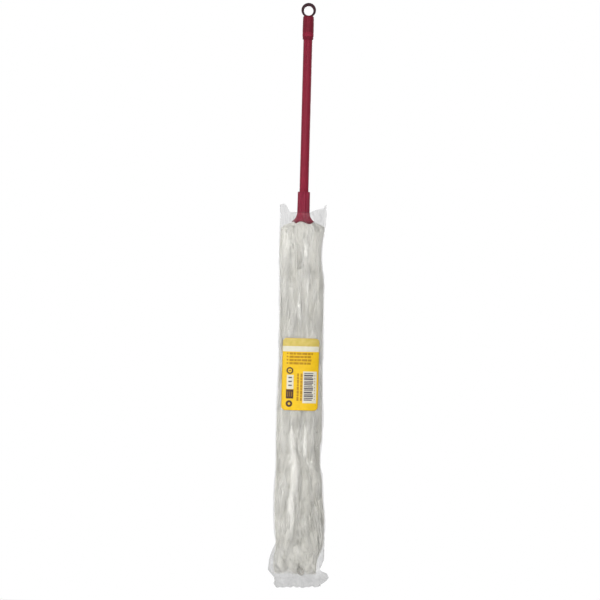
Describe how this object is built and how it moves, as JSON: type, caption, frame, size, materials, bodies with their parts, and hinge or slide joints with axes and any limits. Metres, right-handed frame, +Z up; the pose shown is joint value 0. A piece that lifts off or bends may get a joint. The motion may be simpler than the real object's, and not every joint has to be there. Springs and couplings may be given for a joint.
{
  "type": "long-handled duster",
  "caption": "Long-handled fibre duster with a hanging ring, a lacquered steel tube, a fluted collar and a twisted wire core, in its clear film sleeve with a sticker.",
  "frame": {"origin": "centre of the hole in the hanging ring, in the middle of the ring's thickness", "axes": "+Z up along the handle, the head hanging towards -Z; the sticker's side is the front and faces -Y; +X is to the right seen from the front"},
  "size_m": [0.0675, 0.0266, 0.6504],
  "materials": {
    "cap_plastic": "satin dark burgundy moulded plastic",
    "red_lacquer": "satin burgundy lacquer on steel tube",
    "collar_plastic": "burgundy moulded plastic with fine flutes",
    "bush_plastic": "plain natural plastic",
    "wire_steel": "galvanised wire",
    "white_fibre": "off-white soft fibre",
    "clear_film": "hazy clear polythene film",
    "sticker_paper": null
  },
  "bodies": {
    "duster": {"hang_cap": "cap_plastic", "handle_tube": "red_lacquer", "collar": "collar_plastic", "core_bush": "bush_plastic", "core_wire": "wire_steel", "pile_1": "white_fibre", "pile_2": "white_fibre", "pile_3": "white_fibre", "pile_4": "white_fibre", "pile_5": "white_fibre", "pile_6": "white_fibre", "pile_7": "white_fibre", "pile_8": "white_fibre"},
    "sleeve": {"sleeve_bag": "clear_film", "label": "sticker_paper"}
  },
  "joints": [
    {"name": "sleeve_slide", "type": "slide", "parent": "duster", "child": "sleeve", "axis": [0.0122, 0, -0.9999], "range_m": [0, 0.43]}
  ]
}
